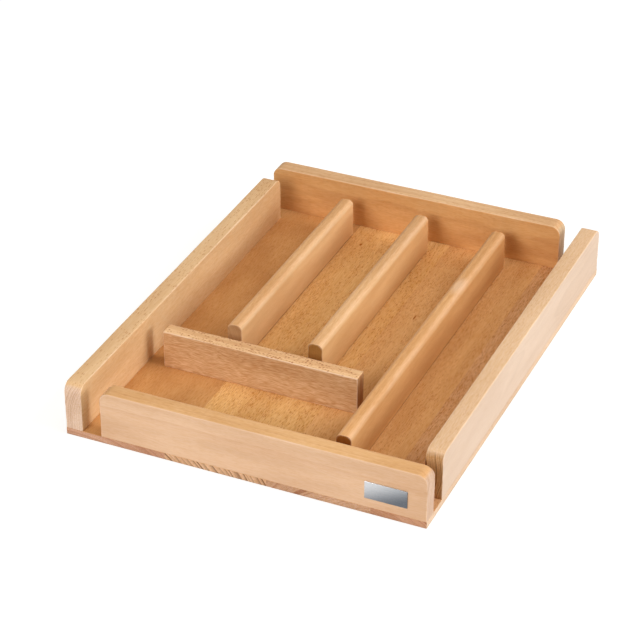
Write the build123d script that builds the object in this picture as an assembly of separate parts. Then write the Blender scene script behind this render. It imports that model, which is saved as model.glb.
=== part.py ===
from build123d import *
import os
from collections import namedtuple

# Wooden cutlery tray. Millimetres, X to the right, Y to the back, Z up.
# The origin is the middle of the underside.

# Overall sizes
tray_width = 330.0
tray_length = 435.0
tray_height = 51.0

# Base, glued up from staves that run front to back
base_thickness = 6.5
base_edge_ease = 0.5
wide_stave_count = 3
narrow_stave_width = 49.0

# Walls, set round the base like a pinwheel
wall_thickness = 16.0
wall_end_radius = 9.0
wall_edge_ease = 1.0
corner_gap = 17.5

# Long dividers, which run front to back
divider_thickness = 14.0
divider_height = 38.0
divider_shoulder_radius = 5.0
divider_end_ease = 1.0
divider_end_gap = 18.5
rear_compartment_count = 3
long_compartment_width = 65.0

# Cross divider, which closes the front compartment
cross_divider_thickness = 14.0
cross_divider_height = 36.0
cross_divider_edge_ease = 1.0
cross_divider_end_gap = 16.5
front_compartment_depth = 102.5

# Countersunk wood screws, driven up through the base
screw_length = 30.0
screw_shank_diameter = 3.5
screw_head_diameter = 7.0
screw_head_rim = 0.4
screw_point_length = 5.0
screw_sink = 0.4
screw_clearance = 0.1
recess_slot_length = 3.6
recess_slot_width = 1.0
recess_slot_depth = 1.5
long_board_screw_count = 4
short_board_screw_count = 3
cross_divider_screw_count = 2
wall_screw_inset = 35.0
divider_screw_inset = 30.0
cross_divider_screw_inset = 40.0

# Blank metal plate on the front wall, on a thin adhesive pad
plate_width = 37.5
plate_height = 16.5
plate_thickness = 0.5
plate_edge_ease = 0.15
plate_right_inset = 17.0
plate_lift = 9.0
pad_thickness = 0.2
pad_margin = 1.5

# One length by which every cutting shape runs past the face it cuts
cut_overrun = 1.0

# A rounding takes at most this share of the thickness that it rounds
round_limit_share = 0.48

# Places worked out from the sizes above
half_width = tray_width / 2
half_length = tray_length / 2
wall_height = tray_height - base_thickness
inner_right = half_width - wall_thickness
inner_back = half_length - wall_thickness
right_divider_line = inner_right - long_compartment_width - divider_thickness / 2
rear_pitch = (right_divider_line + divider_thickness / 2 + inner_right) / rear_compartment_count
left_divider_line = right_divider_line - (rear_compartment_count - 1) * rear_pitch
middle_divider_line = right_divider_line - rear_pitch
cross_divider_front = -inner_back + front_compartment_depth
cross_divider_back = cross_divider_front + cross_divider_thickness

# A run is the line on the base along which a board stands: "x" runs to the right, "y" to the back
Run = namedtuple("Run", "direction line start end")

left_wall_run = Run("y", -half_width + wall_thickness / 2, -half_length, inner_back - corner_gap)
front_wall_run = Run("x", -half_length + wall_thickness / 2, -inner_right + corner_gap, half_width)
right_wall_run = Run("y", half_width - wall_thickness / 2, -inner_back + corner_gap, half_length)
back_wall_run = Run("x", half_length - wall_thickness / 2, -half_width, inner_right - corner_gap)

divider_back_end = inner_back - divider_end_gap
behind_cross_divider = cross_divider_back + divider_end_gap
left_divider_run = Run("y", left_divider_line, behind_cross_divider, divider_back_end)
middle_divider_run = Run("y", middle_divider_line, behind_cross_divider, divider_back_end)
right_divider_run = Run("y", right_divider_line, -divider_back_end, divider_back_end)
cross_divider_run = Run(
    "x",
    cross_divider_front + cross_divider_thickness / 2,
    -inner_right + cross_divider_end_gap,
    right_divider_line - divider_thickness / 2 - cross_divider_end_gap,
)


def run_length(run):
    return run.end - run.start


def on_run(run, along):
    # Point on the base at a distance along the run from its start
    place = run.start + along
    return (run.line, place) if run.direction == "y" else (place, run.line)


def stand_on_base(board, run):
    # Turns a board made along X about its middle to its run, and sets it on the base
    x, y = on_run(run, run_length(run) / 2)
    turn = 90 if run.direction == "y" else 0
    return Pos(x, y, base_thickness) * Rot(0, 0, turn) * board


def edges_off_foot(shape, edges, foot_band):
    # Edges that don't lie in the face that stands on the base
    foot = shape.bounding_box().min.Z
    return [edge for edge in edges if edge.center().Z > foot + foot_band]


# Walls: boards with rounded top corners and eased edges
def wall_board(run):
    length = run_length(run)
    side = Pos(0, wall_height / 2) * Rectangle(length, wall_height)
    side = fillet(side.vertices().group_by(Axis.Y)[-1], wall_end_radius)
    board = extrude(Plane.XZ * side, amount=wall_thickness / 2, both=True)
    faces = board.faces().filter_by(Axis.Y)
    ease = min(wall_edge_ease, round_limit_share * wall_thickness)
    rims = [edge for face in faces for edge in edges_off_foot(board, face.edges(), ease)]
    return stand_on_base(fillet(rims, ease), run)


# Long dividers: round shoulders along the top, square ends with an eased rim
def divider_board(run):
    length = run_length(run)
    shoulder = min(divider_shoulder_radius, round_limit_share * divider_thickness)
    section = Pos(0, divider_height / 2) * Rectangle(divider_thickness, divider_height)
    section = fillet(section.vertices().group_by(Axis.Y)[-1], shoulder)
    board = extrude(Plane.YZ * section, amount=length / 2, both=True)
    ends = board.faces().filter_by(Axis.X)
    ease = min(divider_end_ease, round_limit_share * divider_thickness)
    rims = [edge for face in ends for edge in edges_off_foot(board, face.edges(), ease)]
    return stand_on_base(fillet(rims, ease), run)


# Cross divider: a square-edged board with every edge but the foot eased
def cross_divider_board(run):
    board = Box(
        run_length(run),
        cross_divider_thickness,
        cross_divider_height,
        align=(Align.CENTER, Align.CENTER, Align.MIN),
    )
    ease = min(cross_divider_edge_ease, round_limit_share * cross_divider_thickness)
    return stand_on_base(fillet(edges_off_foot(board, board.edges(), ease), ease), run)


# Screw: the outline is turned round Z, and its hole is the same outline grown by the clearance
def screw_outline(foot, grow):
    head_radius = screw_head_diameter / 2 + grow
    shank_radius = screw_shank_diameter / 2 + grow
    cone_foot = screw_sink + screw_head_rim
    cone_top = cone_foot + (screw_head_diameter - screw_shank_diameter) / 2
    tip = screw_sink + screw_length
    outline = Polyline(
        (0, 0, foot),
        (head_radius, 0, foot),
        (head_radius, 0, cone_foot),
        (shank_radius, 0, cone_top),
        (shank_radius, 0, tip - screw_point_length),
        (0, 0, tip + grow),
        close=True,
    )
    return revolve(make_face(outline), Axis.Z)


def screw():
    body = screw_outline(foot=screw_sink, grow=0)
    for turn in (0, 90):
        slot = Box(recess_slot_length, recess_slot_width, recess_slot_depth + cut_overrun)
        slot_middle = screw_sink + (recess_slot_depth - cut_overrun) / 2
        body -= Pos(0, 0, slot_middle) * Rot(0, 0, turn) * slot
    return body


def screw_places(run, count, inset):
    # Evenly spaced along the run, with the first and last at the inset from its ends
    step = (run_length(run) - 2 * inset) / (count - 1)
    return [on_run(run, inset + step * number) for number in range(count)]


def at_places(shape, places):
    return [Pos(x, y, 0) * shape for x, y in places]


# Base: one board with eased outer edges and all screw holes, parted along the stave joints
def base_board(holes):
    board = Box(tray_width, tray_length, base_thickness, align=(Align.CENTER, Align.CENTER, Align.MIN))
    ease = min(base_edge_ease, round_limit_share * base_thickness)
    board = fillet(board.edges(), ease)
    for hole in holes:
        board -= hole
    return board


def base_staves(board):
    wide = (tray_width - narrow_stave_width) / wide_stave_count
    joints = [-half_width + wide * number for number in range(wide_stave_count + 1)]
    bounds = [joints[0] - cut_overrun] + joints[1:] + [half_width + cut_overrun]
    staves = []
    for left, right in zip(bounds, bounds[1:]):
        slab = Pos((left + right) / 2, 0, base_thickness / 2) * Box(
            right - left, tray_length + cut_overrun, base_thickness + cut_overrun
        )
        staves.append(board & slab)
    return staves


# Plate and pad: flat against the front face of the front wall
def flat_on_front(width, height, thickness, behind):
    middle_x = half_width - plate_right_inset - plate_width / 2
    middle_z = base_thickness + plate_lift + plate_height / 2
    middle_y = -half_length - behind - thickness / 2
    return Pos(middle_x, middle_y, middle_z) * Box(width, thickness, height)


def front_plate():
    plate = flat_on_front(plate_width, plate_height, plate_thickness, behind=pad_thickness)
    ease = min(plate_edge_ease, round_limit_share * plate_thickness)
    return fillet(plate.faces().sort_by(Axis.Y)[0].edges(), ease)


def plate_pad():
    width = plate_width - 2 * pad_margin
    height = plate_height - 2 * pad_margin
    return flat_on_front(width, height, pad_thickness, behind=0)


# Every standing board: its maker, its run, its number of screws and their inset
boards = {
    "left_wall": (wall_board, left_wall_run, long_board_screw_count, wall_screw_inset),
    "front_wall": (wall_board, front_wall_run, short_board_screw_count, wall_screw_inset),
    "right_wall": (wall_board, right_wall_run, long_board_screw_count, wall_screw_inset),
    "back_wall": (wall_board, back_wall_run, short_board_screw_count, wall_screw_inset),
    "left_divider": (divider_board, left_divider_run, short_board_screw_count, divider_screw_inset),
    "middle_divider": (divider_board, middle_divider_run, short_board_screw_count, divider_screw_inset),
    "right_divider": (divider_board, right_divider_run, long_board_screw_count, divider_screw_inset),
    "cross_divider": (
        cross_divider_board,
        cross_divider_run,
        cross_divider_screw_count,
        cross_divider_screw_inset,
    ),
}

wood_screw = screw()
screw_hole = screw_outline(foot=-cut_overrun, grow=screw_clearance)

nodes = {}
base_holes = []
for name, (make_board, run, count, inset) in boards.items():
    places = screw_places(run, count, inset)
    board = make_board(run)
    for hole in at_places(screw_hole, places):
        board -= hole
        base_holes.append(hole)
    nodes[name] = board
    nodes[name + "_screws"] = Compound(at_places(wood_screw, places))

for number, stave in enumerate(base_staves(base_board(base_holes)), start=1):
    nodes[f"base_stave_{number}"] = stave

nodes["front_plate"] = front_plate()
nodes["plate_pad"] = plate_pad()

os.makedirs("parts", exist_ok=True)
for name, shape in nodes.items():
    export_step(shape, f"parts/{name}.step")
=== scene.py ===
import bpy
import math
import numpy as np
from mathutils import Matrix, Vector


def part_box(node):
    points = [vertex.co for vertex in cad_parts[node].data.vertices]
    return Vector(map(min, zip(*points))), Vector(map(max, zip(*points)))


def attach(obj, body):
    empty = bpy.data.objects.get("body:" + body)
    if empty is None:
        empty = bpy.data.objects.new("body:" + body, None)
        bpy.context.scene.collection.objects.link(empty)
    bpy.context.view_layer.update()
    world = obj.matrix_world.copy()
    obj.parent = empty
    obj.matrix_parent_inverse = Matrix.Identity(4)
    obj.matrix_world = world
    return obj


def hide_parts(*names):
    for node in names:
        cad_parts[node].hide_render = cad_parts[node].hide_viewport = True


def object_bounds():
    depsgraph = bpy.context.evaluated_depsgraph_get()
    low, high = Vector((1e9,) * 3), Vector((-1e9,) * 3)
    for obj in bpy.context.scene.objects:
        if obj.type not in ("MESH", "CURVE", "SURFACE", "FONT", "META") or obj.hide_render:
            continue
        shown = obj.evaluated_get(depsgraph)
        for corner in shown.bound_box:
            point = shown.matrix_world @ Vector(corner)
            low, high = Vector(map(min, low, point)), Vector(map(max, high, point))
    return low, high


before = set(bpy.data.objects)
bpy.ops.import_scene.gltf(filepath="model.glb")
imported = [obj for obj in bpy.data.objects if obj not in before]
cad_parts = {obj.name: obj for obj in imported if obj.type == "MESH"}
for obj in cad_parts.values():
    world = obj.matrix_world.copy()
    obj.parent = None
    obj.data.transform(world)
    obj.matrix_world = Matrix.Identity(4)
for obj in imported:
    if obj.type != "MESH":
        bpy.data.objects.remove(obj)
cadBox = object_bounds()
print("frame loaded:", len(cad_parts), "nodes")

mm = 0.001  # the scene is in metres, the sizes below in millimetres
bpy.context.scene.view_settings.view_transform = "Standard"


# a colour picked as screen levels from 0 to 255, turned by the sRGB curve into the shares that a shader takes
def linear(levels):
    share = np.array(levels, float) / 255
    straight = np.where(share <= 0.04045, share / 12.92, ((share + 0.055) / 1.055) ** 2.4)
    return (*straight.tolist(), 1.0)


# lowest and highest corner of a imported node, in millimetres
def nodeBox(node):
    low, high = (np.array(corner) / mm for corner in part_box(node))
    return low, high


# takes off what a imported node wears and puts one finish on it
def dress(node, material):
    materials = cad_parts[node].data.materials
    materials.clear()
    materials.append(material)


# puts nodes into one tree, links sockets and sets plain values
class NodeBench:
    def __init__(self, tree):
        self.tree = tree
        tree.nodes.clear()

    def feed(self, socket, value):
        if isinstance(value, bpy.types.NodeSocket):
            self.tree.links.new(value, socket)
        else:
            socket.default_value = value

    def put(self, kind, inputs=None, **settings):
        node = self.tree.nodes.new("ShaderNode" + kind)
        for key, value in settings.items():
            setattr(node, key, value)
        for key, value in (inputs or {}).items():
            self.feed(node.inputs[key], value)
        return node

    def math(self, operation, *values):
        node = self.put("Math", dict(enumerate(values)), operation=operation)
        return node.outputs[0]

    def vector(self, operation, *values):
        node = self.put("VectorMath", dict(enumerate(values)), operation=operation)
        return node.outputs["Value" if operation in ("DOT_PRODUCT", "LENGTH") else "Vector"]

    def mix(self, factor, first, second, blend="MIX"):
        inputs = {"Fac": factor, "Color1": first, "Color2": second}
        return self.put("MixRGB", inputs, blend_type=blend).outputs["Color"]

    # a tint laid over a tone, as far as the share times its strength
    def stain(self, tone, tint, share, strength, blend="MULTIPLY"):
        return self.mix(self.math("MULTIPLY", share, strength), tone, linear(tint), blend)

    # the first value where the share is 0, the second where it is 1
    def between(self, share, first, second):
        gap = self.math("SUBTRACT", second, first)
        return self.math("MULTIPLY_ADD", share, gap, first)

    # a smooth step: toLow up to the low value, toHigh from the high value on
    def spread(self, value, low, high, toLow=0.0, toHigh=1.0):
        inputs = {"Value": value, "From Min": low, "From Max": high, "To Min": toLow, "To Max": toHigh}
        return self.put("MapRange", inputs, interpolation_type="SMOOTHSTEP").outputs["Result"]

    # noise whose bumps have the length of stretch along each axis
    def noise(self, place, stretch, detail=2.0):
        scaled = self.vector("MULTIPLY", place, [1 / length for length in stretch])
        return self.put("TexNoise", {"Vector": scaled, "Scale": 1.0, "Detail": detail}).outputs

    # the same with one length along the grain and one width across it
    def grainNoise(self, place, size, detail=2.0):
        long, wide = size
        return self.noise(place, (long, wide, wide), detail)

    # where a point lies in its piece, in millimetres
    def place(self):
        return self.vector("MULTIPLY", self.put("TexCoord").outputs["Object"], (1 / mm,) * 3)


# an empty material and the bench that fills it
def newMaterial(name):
    material = bpy.data.materials.new(name)
    material.use_nodes = True
    return material, NodeBench(material.node_tree)


# Beech
# what all boards share; a board's own dictionary overrides it
beechHabit = dict(
    ring=2.6,                    # mean width of a year ring
    ringPace=0.23,               # how fast the width changes from ring to ring
    ringSwing=4.0,               # how far that moves the lines, in rings
    ringDetail=1.0,
    lateBend=2.0,                # late wood grows with this power of the way through its ring
    lateEnd=0.88,                # and fades out from here to the next ring
    faintestRing=0.2,
    ringTint=(226, 200, 176),
    rings=0.45,                  # strength of the ring lines along the board and on its end
    endRings=0.8,
    sway=(260, 40),              # length along and across the grain over which the rings sway
    swayDepth=3.0,               # how far they sway
    fleckSize=(4.8, 0.62, 1.2),  # dark pores and flecks: along, across and into the trunk
    fleckFade=(0.2, 0.55),       # a fleck fades out between these distances from its middle, in cells
    fleckBand=(110, 9),          # flecks crowd in bands of this length and width
    bandDetail=1.0,
    bandFade=(0.3, 0.62),        # noise from where a band begins to where it is full
    fleckShare=0.75,             # share of places that hold a fleck in a band, and outside the bands
    strayShare=0.15,
    faintestFleck=0.3,
    fleckTint=(194, 126, 0),
    flecks=0.25,                 # strength of the flecks on the face and on the edge of the board
    edgeFlecks=0.3,
    cloudSize=(150, 26),         # slow changes of tone, along and across
    cloudDetail=3.0,
    cloudFade=(0.32, 0.68),
    cloudTint=(222, 206, 190),
    clouds=0.5,
    fibreSize=(8, 0.9),          # fine dashes along the grain
    fibreDetail=1.5,
    fibreFade=(0.3, 0.7),
    fibreHue=(0.6, 1.25, 2.5),   # red, green and blue in a dash: a pale one is whiter, a dark one browner
    fibres=0.035,                # strength of the dashes on the face, on the edge and on the end of the board
    edgeFibres=0.035,
    endFibres=0.04,
    edgeTurn=(0.45, 0.9),        # part of the normal at which the edge begins and is full, and the end
    endTurn=(0.5, 0.92),
    innerTurn=(0.0, 0.3),        # and the inner face
    innerSide=0,                 # 1 or -1 where the board's inner face looks, if it has a tone of its own
    innerFace=(230, 188, 138),
    marks=(),                    # knots and dark spots: place in X and Y, half length, half width, strength
    paleMarks=(),                # pale spots, in the same way
    markCore=0.2,                # share of a mark that has its full strength
    waveSize=(40, 7),            # what the sander leaves: length and width of a wave, and its depth
    waveDepth=0.02,
    waveDetail=1.0,
    waveFade=(0.3, 0.7),
    paintedEdgeHighlight=0.3,               # painted highlight: how much paler the eased edges are painted
    highlightPatches=(0.5, 1.2),       # the painted highlight in the hollow and on the crest of a wave
    paleSpotAndHighlightTint=(250, 226, 204),
    footShade=0.0,                # strength of the painted shade line where the board meets the base
    footShadeTint=(134, 80, 38),
    fleckRise=-0.3,              # flecks sink, fibres and late wood rise: shares of the grain's depth
    fibreRise=0.4,
    lateRise=0.3,
    grainDepth=0.12,
    grainStrength=0.2,
    gloss=(0.34, 0.46),          # roughness from the smoothest fibre to the roughest
    shine=0.02,
)


# Trunk coordinates run along the grain, outward from the pith and sideways round it: the board's
# coordinates in millimetres, turned onto these axes, with the pith as origin and a slide along the grain.
def trunkPlace(bench, look, place):
    low, high = look["box"]
    grain = Vector(np.eye(3)["xyz".index(look["grain"])])
    pith = Vector(look["pith"])
    outward = Vector((low + high) / 2) - pith
    outward -= grain * outward.dot(grain)
    reach = outward.length  # from the pith to the middle of the board
    outward.normalize()
    turned = Matrix((grain, outward, grain.cross(outward)))
    trunk = bench.put("Mapping", {
        "Vector": place,
        "Location": -(turned @ pith) + Vector((look["slide"], 0, 0)),
        "Rotation": turned.to_euler("XYZ"),
        "Scale": (1 / mm,) * 3,
    }).outputs["Vector"]
    return trunk, reach


# the trunk grew with a sway: slow noise about its mean moves each place outward and sideways
def swayedPlace(bench, look, trunk):
    swing = bench.grainNoise(trunk, look["sway"])["Color"]
    swing = bench.vector("SUBTRACT", swing, (0.5, 0.5, 0.5))
    swing = bench.vector("MULTIPLY", swing, (0, 2 * look["swayDepth"], 2 * look["swayDepth"]))
    return bench.vector("ADD", trunk, swing)


# A ring's phase is the distance from the pith over the ring width, moved by slow noise. Late wood grows
# with a power of the way through the ring and fades just before the next, and each ring has its own strength.
def lateWood(bench, look, radius):
    phase = bench.math("DIVIDE", radius, look["ring"])
    pace = {"W": phase, "Scale": look["ringPace"], "Detail": look["ringDetail"]}
    uneven = bench.put("TexNoise", pace, noise_dimensions="1D").outputs["Fac"]
    phase = bench.math("MULTIPLY_ADD", uneven, look["ringSwing"], phase)
    through = bench.math("FRACT", phase)
    late = bench.math("POWER", through, look["lateBend"])
    late = bench.math("MULTIPLY", late, bench.spread(through, look["lateEnd"], 1.0, 1.0, 0.0))
    ringNumber = bench.math("FLOOR", phase)
    chance = bench.put("TexWhiteNoise", {"W": ringNumber}, noise_dimensions="1D").outputs["Value"]
    return bench.math("MULTIPLY", late, bench.between(chance, look["faintestRing"], 1.0))


# Flecks are cells in grain, turn round the pith and radius, dark in their middle. A cell holds a fleck where
# its chance lies below a share that is higher in long bands, and each fleck has its own strength.
def rayFlecks(bench, look, swayed, radius, reach):
    parts = bench.put("SeparateXYZ", {"Vector": swayed}).outputs
    turn = bench.math("ARCTAN2", parts["Z"], parts["Y"])
    long, wide, deep = look["fleckSize"]
    cellPlace = bench.put("CombineXYZ", {
        "X": bench.math("DIVIDE", parts["X"], long),
        "Y": bench.math("MULTIPLY", turn, reach / wide),
        "Z": bench.math("DIVIDE", radius, deep),
    }).outputs["Vector"]
    cells = bench.put("TexVoronoi", {"Vector": cellPlace, "Scale": 1.0}).outputs
    chance = bench.put("SeparateColor", {"Color": cells["Color"]}).outputs
    fleck = bench.spread(cells["Distance"], *look["fleckFade"], 1.0, 0.0)
    band = bench.grainNoise(swayed, look["fleckBand"], look["bandDetail"])["Fac"]
    crowd = bench.spread(band, *look["bandFade"], look["strayShare"], look["fleckShare"])
    fleck = bench.math("MULTIPLY", fleck, bench.math("LESS_THAN", chance["Red"], crowd))
    return bench.math("MULTIPLY", fleck, bench.between(chance["Green"], look["faintestFleck"], 1.0))


# the tone by the way the surface looks: through the board's thickness is its face, along the grain its end,
# and the third way its edge
def sideTones(bench, look, looks):
    low, high = look["box"]
    endAxis = "xyz".index(look["grain"])
    faceAxis = int(np.argmin(high - low))
    edgeAxis = 3 - endAxis - faceAxis
    edgeShare = bench.spread(bench.math("ABSOLUTE", looks[edgeAxis]), *look["edgeTurn"])
    endShare = bench.spread(bench.math("ABSOLUTE", looks[endAxis]), *look["endTurn"])
    tone = linear(look["face"])
    if look["innerSide"]:
        inward = bench.math("MULTIPLY", looks[faceAxis], look["innerSide"])
        tone = bench.mix(bench.spread(inward, *look["innerTurn"]), tone, linear(look["innerFace"]))
    tone = bench.mix(edgeShare, tone, linear(look["edge"]))
    tone = bench.mix(endShare, tone, linear(look["end"]))
    return tone, edgeShare, endShare


# a mark fades with the distance from its middle, counted in half widths along X and half lengths along Y
def markedTone(bench, look, tone):
    place = bench.place()
    for kind, tint, blend in (("marks", "fleckTint", "MULTIPLY"), ("paleMarks", "paleSpotAndHighlightTint", "MIX")):
        for x, y, halfLength, halfWidth, strength in look[kind]:
            fromMark = bench.vector("SUBTRACT", place, (x, y, 0))
            fromMark = bench.vector("MULTIPLY", fromMark, (1 / halfWidth, 1 / halfLength, 0))
            away = bench.vector("LENGTH", fromMark)
            mark = bench.spread(away, look["markCore"], 1.0, strength, 0.0)
            tone = bench.mix(mark, tone, linear(look[tint]), blend)
    return tone


# The tone of each side is stained by clouds, late wood and flecks, then made paler or darker by the fibres.
# Last come marks, the painted highlight on eased edges and shoulders, and the painted shade at the foot. The
# surface is tilted by flecks, fibres, rings and waves.
def beech(node, board):
    look = {**beechHabit, **board, "box": nodeBox(node)}
    material, bench = newMaterial(node + "_beech")
    own = bench.put("TexCoord").outputs
    trunk, reach = trunkPlace(bench, look, own["Object"])
    swayed = swayedPlace(bench, look, trunk)
    radius = bench.vector("LENGTH", bench.vector("MULTIPLY", swayed, (0, 1, 1)))
    late = lateWood(bench, look, radius)
    fleck = rayFlecks(bench, look, swayed, radius, reach)
    fibre = bench.grainNoise(swayed, look["fibreSize"], look["fibreDetail"])["Fac"]
    fibre = bench.spread(fibre, *look["fibreFade"])
    cloud = bench.grainNoise(trunk, look["cloudSize"], look["cloudDetail"])["Fac"]
    cloud = bench.spread(cloud, *look["cloudFade"])
    wave = bench.grainNoise(trunk, look["waveSize"], look["waveDetail"])["Fac"]

    looks = bench.put("SeparateXYZ", {"Vector": own["Normal"]}).outputs
    tone, edgeShare, endShare = sideTones(bench, look, looks)
    tone = bench.stain(tone, look["cloudTint"], cloud, look["clouds"])
    ringStrength = bench.between(endShare, look["rings"], look["endRings"])
    tone = bench.stain(tone, look["ringTint"], late, ringStrength)
    fleckStrength = bench.between(edgeShare, look["flecks"], look["edgeFlecks"])
    fleckStrength = bench.between(endShare, fleckStrength, 0.0)
    tone = bench.stain(tone, look["fleckTint"], fleck, fleckStrength)
    fibreStrength = bench.between(edgeShare, look["fibres"], look["edgeFibres"])
    fibreStrength = bench.between(endShare, fibreStrength, look["endFibres"])
    dash = bench.math("MULTIPLY", bench.between(fibre, -1.0, 1.0), fibreStrength)
    tone = bench.vector("MULTIPLY", tone, bench.vector("MULTIPLY_ADD", dash, look["fibreHue"], (1, 1, 1)))

    tone = markedTone(bench, look, tone)
    # painted highlight: eased edges and shoulders turn toward a pale tint, in patches along the sanding waves
    paintedHighlight = bench.put("Attribute", attribute_name="highlightMask").outputs["Fac"]
    paintedHighlight = bench.math("MULTIPLY", paintedHighlight, bench.spread(wave, *look["waveFade"], *look["highlightPatches"]))
    tone = bench.stain(tone, look["paleSpotAndHighlightTint"], paintedHighlight, look["paintedEdgeHighlight"], "MIX")
    # painted shade: a dark line along the foot where the board meets the base
    foot = bench.put("Attribute", attribute_name="footShade").outputs["Fac"]
    tone = bench.stain(tone, look["footShadeTint"], foot, look["footShade"])

    rise = bench.math("MULTIPLY", fibre, look["fibreRise"])
    rise = bench.math("MULTIPLY_ADD", fleck, look["fleckRise"], rise)
    rise = bench.math("MULTIPLY_ADD", late, look["lateRise"], rise)
    waved = bench.put("Bump", {
        "Height": wave,
        "Strength": 1.0,
        "Distance": look["waveDepth"] * mm,
    }).outputs["Normal"]
    grained = bench.put("Bump", {
        "Height": rise,
        "Strength": look["grainStrength"],
        "Distance": look["grainDepth"] * mm,
        "Normal": waved,
    }).outputs["Normal"]
    shader = bench.put("BsdfPrincipled", {
        "Base Color": tone,
        "Roughness": bench.spread(fibre, 0.0, 1.0, *look["gloss"]),
        "Normal": grained,
        "Specular IOR Level": look["shine"],
    })
    bench.put("OutputMaterial", {"Surface": shader.outputs["BSDF"]})
    return material


# Standing boards
# An outline with round top corners is carried across the board. A point has two parameters: its place round
# the outline, and its row over the edges from the one face to the other. Over an eased edge of radius e a row
# at angle t has sunk e(1 - cos t) below the face and stands e(1 - sin t) inside the outline.
boardEase = dict(
    arcPoints=10,               # points round each corner of the outline
    runPoints=44,               # points along each straight side
    edgeRows=5,                 # rows over each eased edge
    support=1.7,                # the last row on the face, in eases from the outline
    unevenness=0.22,            # how much the hand-sanded ease changes along the edge
    waveCounts=(3, 5, 8, 13, 21),  # waves of that change, in one turn round the outline
    waveStrength=(0.2, 0.6),    # least and most strength of one of them
    leastBend=0.1,              # an inset corner keeps at least this radius, so that its points stay apart
)


# a rounded rectangle moved inwards: each corner's arc has its own inset from the side and from the top or
# foot, and the straight run after it moves in by the run's inset
def insetOutline(span, radii, fromSide, fromEnd, onRun):
    uLow, uHigh, zLow, zHigh = span  # corners in turn: right foot, right top, left top, left foot
    isRight = np.array([True, True, False, False])[:, None]
    isTop = np.array([False, True, True, False])[:, None]
    radii = np.array(radii)[:, None]
    quarter = np.linspace(0, math.pi / 2, fromSide.shape[-1])
    angle = np.array([-1, 0, 1, 2])[:, None] * math.pi / 2 + quarter
    bend = np.maximum(radii - np.maximum(fromSide, fromEnd), boardEase["leastBend"])
    arcU = np.where(isRight, uHigh - fromSide - bend, uLow + fromSide + bend) + bend * np.cos(angle)
    arcZ = np.where(isTop, zHigh - fromEnd - bend, zLow + fromEnd + bend) + bend * np.sin(angle)
    fullU = np.where(isRight, uHigh - radii, uLow + radii) + radii * np.cos(angle)
    fullZ = np.where(isTop, zHigh - radii, zLow + radii) + radii * np.sin(angle)
    share = np.linspace(0, 1, onRun.shape[-1] + 2)[1:-1]
    outU = np.array([1, 0, -1, 0])[:, None]
    outZ = np.array([0, 1, 0, -1])[:, None]
    runU = fullU[:, -1:] + (np.roll(fullU, -1, 0)[:, :1] - fullU[:, -1:]) * share - outU * onRun
    runZ = fullZ[:, -1:] + (np.roll(fullZ, -1, 0)[:, :1] - fullZ[:, -1:]) * share - outZ * onRun
    rows = onRun.shape[0]
    loopU = np.concatenate([arcU, runU], -1).reshape(rows, -1)
    loopZ = np.concatenate([arcZ, runZ], -1).reshape(rows, -1)
    return loopU, loopZ


# puts rows of closed loops into a mesh: quads between neighbouring rows, and one cap on each end row;
# where the sum of the corners' triple products is below zero, the faces look inwards and are turned over
def loopMesh(name, points, attributes):
    rows, around = points.shape[:2]
    here = np.arange(rows * around).reshape(rows, around)
    after = np.roll(here, -1, 1)
    quads = np.stack([here[:-1], after[:-1], after[1:], here[1:]], -1).reshape(-1, 4)
    caps = np.stack([here[0][::-1], here[-1]])
    flat = points.reshape(-1, 3)
    volume = np.einsum("ij,ij->", flat[quads[:, 0]], np.cross(flat[quads[:, 1]], flat[quads[:, 2]]))
    volume += np.einsum("ij,ij->", flat[quads[:, 0]], np.cross(flat[quads[:, 2]], flat[quads[:, 3]]))
    if volume < 0:
        quads, caps = quads[:, ::-1], caps[:, ::-1]
    faces = quads.tolist() + caps.tolist()
    mesh = bpy.data.meshes.new(name)
    mesh.from_pydata((flat * mm).tolist(), [], faces)
    mesh.polygons.foreach_set("use_smooth", np.ones(len(faces), bool))
    for kind, values in attributes.items():
        marks = mesh.attributes.new(kind, "FLOAT", "POINT")
        marks.data.foreach_set("value", values.astype(np.float32).ravel())
    mesh.update()
    return mesh


# the ease swells and thins along the edge as the sum of a few sine waves round the outline
def unevenEase(seed, count):
    chance = np.random.default_rng(seed)
    place = np.linspace(0, 2 * math.pi, count, endpoint=False)
    waves = np.array(boardEase["waveCounts"])[:, None]
    swing = np.sin(waves * place + chance.uniform(0, 2 * math.pi, waves.shape))
    strength = chance.uniform(*boardEase["waveStrength"], waves.shape)
    return 1 + boardEase["unevenness"] * (swing * strength).sum(0)


# the share of the ease at each point round the outline: uneven at the edges that a hand touches, but one
# given share along the foot, with a straight change from it up each foot corner
def easeShares(seed, atFoot):
    arcs, runs = boardEase["arcPoints"], boardEase["runPoints"]
    share = unevenEase(seed, 4 * (arcs + runs)).reshape(4, arcs + runs)
    onArc, onRun = share[:, :arcs], share[:, arcs:]
    fromSide, fromEnd = onArc.copy(), onArc.copy()
    if atFoot:
        onRun[3] = atFoot
        fromSide[0], fromSide[3] = onRun[0, 0], onRun[2, -1]
        fromEnd[0] = fromEnd[3] = atFoot
        onArc[0] = np.linspace(atFoot, onRun[0, 0], arcs)
        onArc[3] = np.linspace(onRun[2, -1], atFoot, arcs)
    return share.reshape(1, -1), fromSide, fromEnd, onRun


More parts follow.
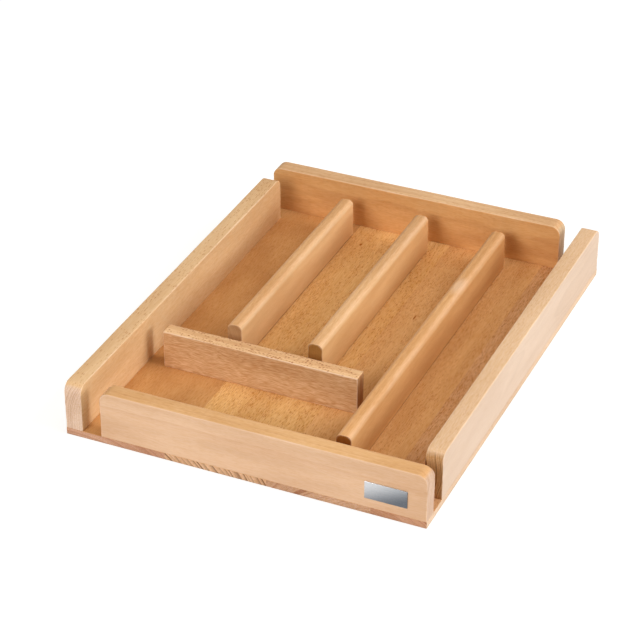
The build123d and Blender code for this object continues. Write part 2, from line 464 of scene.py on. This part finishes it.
# How far each point carries the painted highlight: sin 2t over an eased edge, and on a shoulder the sine of
# the way round its arc. The painted foot shade is 1 round the foot. Neither reaches the caps.
def paintedLightMarks(turn, share, shoulderHighlight):
    arcs, runs = boardEase["arcPoints"], boardEase["runPoints"]
    paintedHighlight = np.concatenate([[0], np.sin(2 * turn)])
    paintedHighlight = np.concatenate([paintedHighlight, paintedHighlight[::-1]])[:, None] * np.minimum(share, 1)
    offCaps = np.ones((len(paintedHighlight), 1))
    offCaps[[0, -1]] = 0
    onShoulder = np.zeros((4, arcs + runs))
    onShoulder[[1, 2], :arcs] = np.array(shoulderHighlight)[:, None] * np.sin(np.linspace(0, math.pi, arcs))
    onFoot = np.zeros((4, arcs + runs))
    onFoot[[0, 3], :arcs] = 1
    onFoot[3, arcs:] = 1
    paintedHighlight = np.maximum(paintedHighlight, offCaps * onShoulder.reshape(1, -1))
    return dict(highlightMask=paintedHighlight, footShade=offCaps * onFoot.reshape(1, -1))


# The rows of the inset outline go from one face of the node's box to the other: a row on the face inside the
# eased edge, the rows over the edge, and the same mirrored on the other face.
def easedBoard(name, node, slotName, acrossAxis, seed, topRadius, ease, footEase=None, shoulderHighlight=(0, 0)):
    low, high = nodeBox(node)
    outlineAxis = 1 - acrossAxis
    span = (low[outlineAxis], high[outlineAxis], low[2], high[2])
    footRadius = footEase or topRadius
    radii = (footRadius, topRadius, topRadius, footRadius)
    share, fromSide, fromEnd, onRun = easeShares(seed, footEase / ease if footEase else None)
    turn = np.linspace(0, math.pi / 2, boardEase["edgeRows"] + 1)
    inset = np.concatenate([[ease * boardEase["support"]], ease * (1 - np.sin(turn))])
    inset = np.concatenate([inset, inset[::-1]])[:, None, None]
    loopU, loopZ = insetOutline(span, radii, inset * fromSide, inset * fromEnd, inset * onRun)
    sunk = np.concatenate([[0], ease * (1 - np.cos(turn))])[:, None] * share
    across = np.concatenate([low[acrossAxis] + sunk, high[acrossAxis] - sunk[::-1]])
    points = np.empty((*across.shape, 3))
    points[..., acrossAxis] = across
    points[..., outlineAxis] = loopU
    points[..., 2] = loopZ
    piece = bpy.data.objects.new(name, loopMesh(name, points, paintedLightMarks(turn, share, shoulderHighlight)))
    bpy.context.scene.collection.objects.link(piece)
    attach(piece, "root")
    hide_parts(node)
    return piece


wallShape = dict(topRadius=9.0, ease=1.0, footEase=0.35)
dividerShape = dict(topRadius=5.0, ease=1.0, footEase=0.5, shoulderHighlight=(1.2, 0.6))  # painted highlight on the right and left shoulder
crossShape = dict(topRadius=1.0, ease=1.0, footEase=0.5)

# what the three long dividers share
dividerHabit = dict(
    slot="divider_beech", acrossAxis=1, shape=dividerShape, grain="y",
    rings=0.3, flecks=0.04, edgeFibres=0.06,
    gloss=(0.38, 0.48), shine=0.04, paintedEdgeHighlight=0.15, waveDepth=0.2,
)

# one dictionary for each standing board: how it is cut from the trunk and what its wood looks like
boards = {
    "left_wall": dict(
        slot="wall_beech", acrossAxis=0, shape=wallShape, seed=11,
        grain="y", pith=(-70, 0, 10), slide=40,
        ring=2.2, ringTint=(196, 160, 130), rings=0.14, endRings=0.9,
        flecks=0.2, edgeFlecks=0.6, fibres=0.05, endFibres=0.08,
        face=(230, 193, 147), edge=(238, 200, 155), end=(235, 205, 182),
    ),
    "front_wall": dict(
        slot="wall_beech", acrossAxis=1, shape=wallShape, seed=12,
        grain="x", pith=(0, -140, 14), slide=15,
        ring=4.5, rings=0.4,
        flecks=0.1, edgeFlecks=0.2, fibres=0.03, edgeFibres=0.05, innerSide=1,
        face=(238, 201, 168), edge=(234, 187, 135), end=(215, 187, 166),
    ),
    "right_wall": dict(
        slot="wall_beech", acrossAxis=0, shape=wallShape, seed=13,
        grain="y", pith=(70, 0, 30), slide=90,
        ring=1.3, ringTint=(128, 90, 60), rings=0.08, endRings=1.2, clouds=0.25,
        flecks=0.1, edgeFlecks=0.22, fibres=0.02, edgeFibres=0.05, endFibres=0.1, innerSide=-1,
        face=(218, 195, 175), edge=(235, 198, 160), end=(212, 167, 118),
    ),
    "back_wall": dict(
        slot="wall_beech", acrossAxis=1, shape=wallShape, seed=14,
        grain="x", pith=(0, 290, 24), slide=70,
        ring=3.8, ringTint=(196, 152, 114), rings=0.55, sway=(130, 26), swayDepth=5.0,
        flecks=0.2, edgeFlecks=0.3, fibres=0.05,
        face=(239, 188, 128), edge=(237, 196, 152), end=(224, 202, 171),
    ),
    # the dividers' end tones are partly darker end grain and partly painted shade of the narrow gaps at their
    # ends, most on the right divider
    "left_divider": dict(
        dividerHabit, seed=15, pith=(-160, 0, 10), slide=10,
        edgeFlecks=0.2, fibres=0.025, footShade=0.6,
        face=(227, 186, 137), edge=(234, 185, 133), end=(205, 162, 117),
    ),
    "middle_divider": dict(
        dividerHabit, seed=16, pith=(-70, 0, 34), slide=60,
        edgeFlecks=0.1, fibres=0.028, footShade=0.45,
        face=(229, 186, 133), edge=(233, 186, 136), end=(179, 129, 70),
    ),
    "right_divider": dict(
        dividerHabit, seed=17, pith=(0, 0, 20), slide=30,
        edgeFlecks=0.1, fibres=0.04, footShade=0.6, paleMarks=((77.8, 76, 20, 6.5, 0.3),),
        face=(219, 170, 115), edge=(230, 177, 122), end=(153, 96, 42),
    ),
    "cross_divider": dict(
        slot="divider_beech", acrossAxis=1, shape=crossShape, seed=18,
        grain="x", pith=(0, -250, 30), slide=20, sway=(60, 22), swayDepth=6.0, paintedEdgeHighlight=0.5,
        flecks=0.12, edgeFlecks=1.15, fleckSize=(2.8, 0.62, 1.05), fleckTint=(176, 94, 0),
        fleckShare=0.7, fleckBand=(60, 4),
        fibres=0.17, fibreSize=(9, 0.65), fibreHue=(0.8, 1.45, 2.2),
        face=(218, 177, 134), edge=(244, 202, 155), end=(184, 142, 102),
    ),
}

for node, board in boards.items():
    cut = (board["slot"], board["acrossAxis"], board["seed"])
    piece = easedBoard(node + "_board", node, *cut, **board["shape"])
    piece.data.materials.append(beech(node, board))
print("standing boards:", len(boards))

# Base staves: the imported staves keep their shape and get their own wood
staveHabit = dict(grain="y", rings=0.05, endRings=0.8, endFibres=0.12, fleckShare=0.95)
staves = {
    "base_stave_1": dict(
        staveHabit, pith=(-150, 0, -90), slide=25,
        ring=3.2, ringTint=(176, 120, 96), endRings=0.7, cloudSize=(60, 26),
        flecks=0.34, fleckShare=0.75, fibres=0.052,
        face=(215, 160, 103), edge=(224, 186, 154), end=(215, 169, 141),
    ),
    "base_stave_2": dict(
        staveHabit, pith=(-170, 0, -110), slide=55,
        ring=4.2, ringTint=(120, 78, 44), rings=0.02, endRings=1.6,
        flecks=0.72, fleckShare=1.0, fibres=0.1, endFibres=0.1, marks=((-57, 168, 3.5, 1.6, 0.9),),
        face=(238, 188, 124), edge=(222, 180, 140), end=(235, 194, 157),
    ),
    "base_stave_3": dict(
        staveHabit, pith=(140, 0, -100), slide=5,
        ring=2.2, ringTint=(176, 124, 92),
        flecks=0.53, fibres=0.075, marks=((40, 66, 6.0, 1.1, 0.9),),
        face=(230, 177, 118), edge=(222, 180, 140), end=(216, 175, 144),
    ),
    "base_stave_4": dict(
        staveHabit, pith=(90, 0, -90), slide=75,
        ring=2.0, ringTint=(176, 120, 92),
        flecks=0.74, fleckTint=(186, 134, 20), fibres=0.12,
        face=(225, 173, 123), edge=(228, 201, 174), end=(209, 161, 130),
    ),
}
for node, stave in staves.items():
    dress(node, beech(node, stave))
print("base staves:", len(staves))


# Metal: the plate is brushed along its length, the screws are bright zinc with a faint mottle
# what both share; a finish overrides it
metalHabit = dict(
    streakDetail=3.0,
    streakFade=(0.3, 0.7),  # noise from the smoothest streak to the roughest
    streakDepth=0.02,
    streakStrength=0.25,
    fray=0.3,               # how far the streaks fray the change from bright to dark
    darkestFrom=1.7,           # where the tone is darkest, along the fade
    brush=0.4,              # stretch of a gleam by the brushing
)
plateLow, plateHigh = nodeBox("front_plate")
plateWidth, _, plateHeight = plateHigh - plateLow
# the plate's tone from bright at the top left to dark at the bottom right is a painted reflection
plateFinish = dict(
    ease=0.15, cornerRadius=0.3, seed=19,
    metal=(204, 207, 211), darkTone=(100, 105, 112), gloss=(0.24, 0.40),
    streak=(14, 0.5, 0.16),                      # size of a streak in X, Y and Z
    sheenAndDarkeningFade=(1 / plateWidth, 0, -1 / plateHeight),  # painted reflection: darker to the right and down
    fadeFrom=(plateLow[0], 0, plateHigh[2]),
)
screwFoot, screwPoint = nodeBox("left_wall_screws")
screwFinish = dict(
    metal=(200, 196, 184), darkTone=(170, 164, 150), gloss=(0.28, 0.5),
    streak=(1.2, 1.2, 1.2),
    sheenAndDarkeningFade=(0, 0, 1 / (screwPoint[2] - screwFoot[2])),  # darker towards the point
    fadeFrom=(0, 0, 0),
)


# fine streaks of noise change the roughness and tilt the surface; the tone goes from bright to dark with the
# distance along the fade, which the streaks move to and fro. On the plate this is a painted reflection.
def brushedMetal(name, ownFinish):
    finish = {**metalHabit, **ownFinish}
    material, bench = newMaterial(name)
    place = bench.place()
    streak = bench.noise(place, finish["streak"], finish["streakDetail"])["Fac"]
    bump = bench.put("Bump", {
        "Height": streak,
        "Strength": finish["streakStrength"],
        "Distance": finish["streakDepth"] * mm,
    }).outputs["Normal"]
    faded = bench.vector("DOT_PRODUCT", bench.vector("SUBTRACT", place, finish["fadeFrom"]), finish["sheenAndDarkeningFade"])
    faded = bench.math("ADD", faded, bench.between(streak, -finish["fray"] / 2, finish["fray"] / 2))
    sheenAndDarkeningShare = bench.spread(faded, 0.0, finish["darkestFrom"])
    shader = bench.put("BsdfPrincipled", {
        "Base Color": bench.mix(sheenAndDarkeningShare, linear(finish["metal"]), linear(finish["darkTone"])),
        "Metallic": 1.0,
        "Roughness": bench.spread(streak, *finish["streakFade"], *finish["gloss"]),
        "Anisotropic": finish["brush"],
        "Normal": bump,
    })
    bench.put("OutputMaterial", {"Surface": shader.outputs["BSDF"]})
    return material


plate = easedBoard("front_plate_sheet", "front_plate", "plate_metal", 1, plateFinish["seed"],
                   plateFinish["cornerRadius"], plateFinish["ease"])
plate.data.materials.append(brushedMetal("brushed_plate", plateFinish))
zinc = brushedMetal("zinc_screw", screwFinish)
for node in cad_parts:
    if node.endswith("_screws"):
        dress(node, zinc)

# Pad: matt grey foam tape
padFinish = dict(foam=(84, 84, 86), pore=(68, 68, 70), poreSize=0.4, poreFade=(0.3, 0.7), gloss=(0.8, 0.95))


# fine noise is the pores, which are darker and rougher than the skin
def foamTape(name, finish):
    material, bench = newMaterial(name)
    pores = bench.noise(bench.place(), (finish["poreSize"],) * 3)["Fac"]
    shader = bench.put("BsdfPrincipled", {
        "Base Color": bench.mix(pores, linear(finish["foam"]), linear(finish["pore"])),
        "Roughness": bench.spread(pores, *finish["poreFade"], *finish["gloss"]),
    })
    bench.put("OutputMaterial", {"Surface": shader.outputs["BSDF"]})
    return material


dress("plate_pad", foamTape("pad_foam", padFinish))
print("plate, pad and screws finished")

# Studio: a white floor that keeps the contact shadow, an even white surround and soft lamps
studio = dict(
    floorHalf=6.0,       # metres, as all lengths here
    floorDrop=0.0003,
    gapLight=0.002,      # a ray this short runs in the gap under the tray
    floorTone=0.85,
    floorGlow=0.74,      # what the camera sees of the floor is this glow and the lit tone below
    floorLit=0.45,
    surround=0.22,       # light of the surround on the wood, and its tint
    surroundTint=(1.0, 0.87, 0.64, 1.0),
    lampReach=2.8,       # distance of the lamps from the tray
)
lamps = {  # bearing is turned from the front to the right, height is above the floor, both in degrees
    "front_softbox": dict(bearing=-17, height=30, size=1.1, power=38),
    "right_softbox": dict(bearing=93, height=19, size=0.9, power=33),
    "high_right_softbox": dict(bearing=92, height=46, size=1.2, power=25),
    "top_softbox": dict(bearing=60, height=76, size=1.5, power=11),
    "rim_softbox": dict(bearing=147, height=19, size=0.5, power=8),
}


# 1 for a ray that sees the background, from the camera, off a mirror or through glass, 0 for scattered light
def backgroundRay(bench):
    path = bench.put("LightPath").outputs
    seen = bench.math("ADD", path["Is Camera Ray"], path["Is Glossy Ray"])
    return bench.math("MINIMUM", bench.math("ADD", seen, path["Is Transmission Ray"]), 1.0)


# a square just below the tray: scattered light meets its plain tone, the camera sees the lit tone plus a
# glow, and it is clear from below and to a ray shorter than the gap, so that light reaches the underside
def studioFloor():
    corners = np.array([(-1, -1), (1, -1), (1, 1), (-1, 1)]) * studio["floorHalf"]
    points = np.column_stack([corners, np.full(4, cadBox[0].z - studio["floorDrop"])])
    mesh = bpy.data.meshes.new("studio_floor")
    mesh.from_pydata(points.tolist(), [], [(0, 1, 2, 3)])
    floor = bpy.data.objects.new("studio_floor", mesh)
    bpy.context.scene.collection.objects.link(floor)
    material, bench = newMaterial("floor_white")
    plain = bench.put("BsdfDiffuse", {"Color": (studio["floorTone"],) * 3 + (1.0,)}).outputs["BSDF"]
    lit = bench.put("BsdfDiffuse", {"Color": (studio["floorLit"],) * 3 + (1.0,)}).outputs["BSDF"]
    glow = bench.put("Emission", {"Strength": studio["floorGlow"]}).outputs["Emission"]
    seen = bench.put("AddShader", {0: lit, 1: glow}).outputs["Shader"]
    shown = bench.put("MixShader", {0: backgroundRay(bench), 1: plain, 2: seen}).outputs["Shader"]
    rayLength = bench.put("LightPath").outputs["Ray Length"]
    inGap = bench.math("LESS_THAN", rayLength, studio["gapLight"])
    fromBelow = bench.put("NewGeometry").outputs["Backfacing"]
    goesThrough = bench.math("MAXIMUM", fromBelow, inGap)
    clear = bench.put("BsdfTransparent").outputs["BSDF"]
    shown = bench.put("MixShader", {0: goesThrough, 1: shown, 2: clear}).outputs["Shader"]
    bench.put("OutputMaterial", {"Surface": shown})
    mesh.materials.append(material)


# a faint warm light all round on the wood, and plain white where the background shows
def studioSurround():
    world = bpy.data.worlds.new("studio_surround")
    world.use_nodes = True
    bench = NodeBench(world.node_tree)
    warm = {"Color": studio["surroundTint"], "Strength": studio["surround"]}
    light = bench.put("Background", warm).outputs["Background"]
    white = bench.put("Background", {"Color": (1, 1, 1, 1), "Strength": 1.0}).outputs["Background"]
    shown = bench.put("MixShader", {0: backgroundRay(bench), 1: light, 2: white}).outputs["Shader"]
    bench.put("OutputWorld", {"Surface": shown})
    bpy.context.scene.world = world


# each lamp stands at its bearing and height on a sphere round the tray, and looks at its middle
def studioLamps():
    for name, lamp in lamps.items():
        light = bpy.data.lights.new(name, "AREA")
        light.shape = "SQUARE"
        light.size = lamp["size"]
        light.energy = lamp["power"]
        bearing, height = math.radians(lamp["bearing"]), math.radians(lamp["height"])
        level = math.cos(height)
        toLamp = Vector((math.sin(bearing) * level, -math.cos(bearing) * level, math.sin(height)))
        holder = bpy.data.objects.new(name, light)
        holder.location = toLamp * studio["lampReach"]
        holder.rotation_euler = toLamp.to_track_quat("Z", "Y").to_euler()
        bpy.context.scene.collection.objects.link(holder)


studioFloor()
studioSurround()
studioLamps()

# Camera: high on the front right, with a long lens; place in metres, turn in degrees
view = dict(place=(0.69330, -1.62137, 1.13947), turn=(57.858, -0.050, 23.937), lens=131.083, sensor=36)
camera = bpy.data.cameras.new("photo_camera")
camera.lens = view["lens"]
camera.sensor_width = view["sensor"]
cameraHolder = bpy.data.objects.new("photo_camera", camera)
cameraHolder.location = view["place"]
cameraHolder.rotation_euler = [math.radians(angle) for angle in view["turn"]]
bpy.context.scene.collection.objects.link(cameraHolder)
bpy.context.scene.camera = cameraHolder
print("studio and camera ready")
